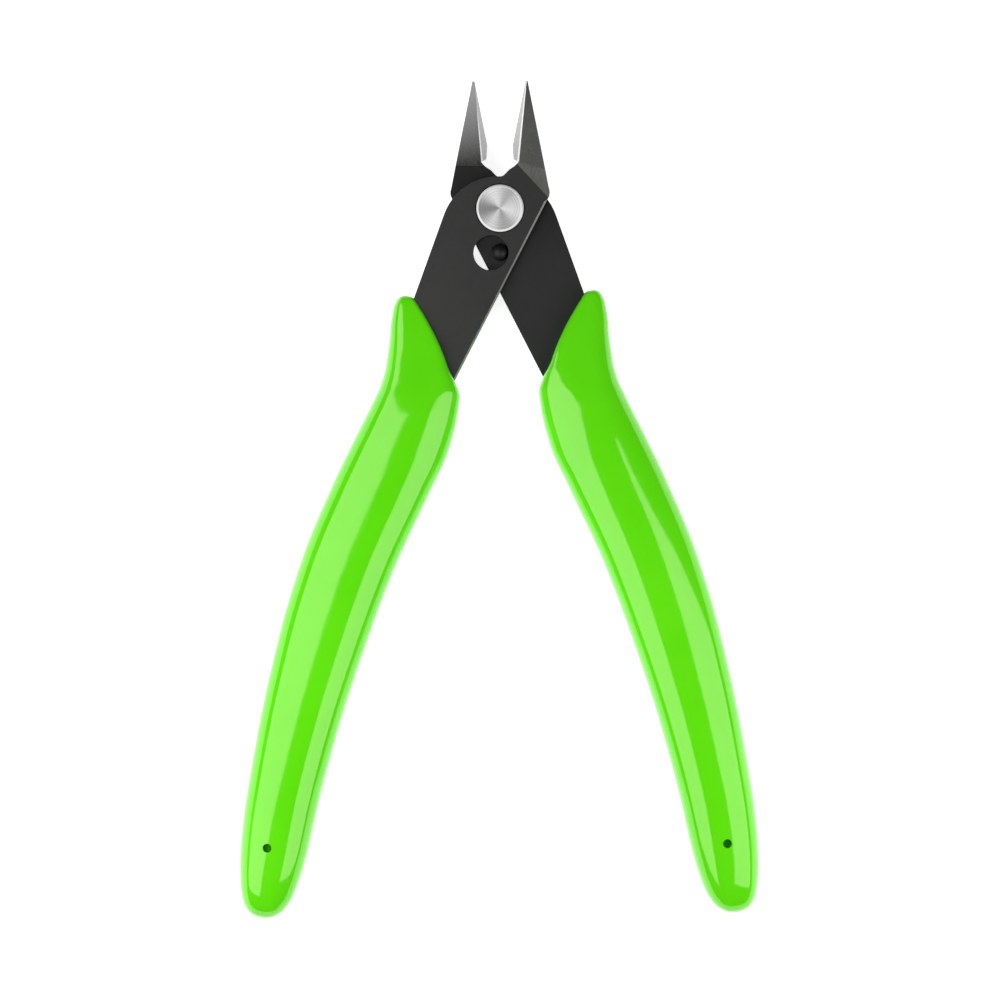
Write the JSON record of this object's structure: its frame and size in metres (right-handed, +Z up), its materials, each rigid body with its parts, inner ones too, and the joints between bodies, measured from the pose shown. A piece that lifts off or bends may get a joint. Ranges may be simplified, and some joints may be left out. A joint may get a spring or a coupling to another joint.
{
  "type": "flush cut pliers",
  "caption": "Slim flush cutting pliers: two lapped black steel blades on a rivet, a stop pin, a hairpin spring and green moulded grips.",
  "frame": {"origin": "centre of the bounding box in plan, on the surface that the pliers lie on", "axes": "+Y along the pliers towards the jaws, +Z up out of the flat side that shows the rivet head, +X to the right seen from above"},
  "size_m": [0.0761, 0.1235, 0.0105],
  "materials": {
    "black_steel": "black oxide on fine-ground carbon steel, satin",
    "ground_edge": "bright ground bevel",
    "rivet_steel": "face-turned, fine concentric marks",
    "pin_steel": "blackened, smooth",
    "spring_steel": "drawn music wire, bright",
    "green_grip": "glossy moulded vinyl"
  },
  "bodies": {
    "rear_half": {"rear_blade": "black_steel", "right_grip": "green_grip", "pivot_rivet": "rivet_steel", "spring_bush": "rivet_steel", "rivet_washer": "rivet_steel", "return_spring": "spring_steel", "stop_pin": "pin_steel"},
    "front_half": {"front_blade": "black_steel", "left_grip": "green_grip"}
  },
  "joints": [
    {"name": "pivot", "type": "hinge", "parent": "rear_half", "child": "front_half", "pos_m": [0, 0.0426, 0.00525], "axis": [0, 0, 1], "range_deg": [0, 22.4], "stiffness_Nm_per_rad": 0.5, "springref_deg": -22.92, "deforming": ["return_spring"]}
  ]
}
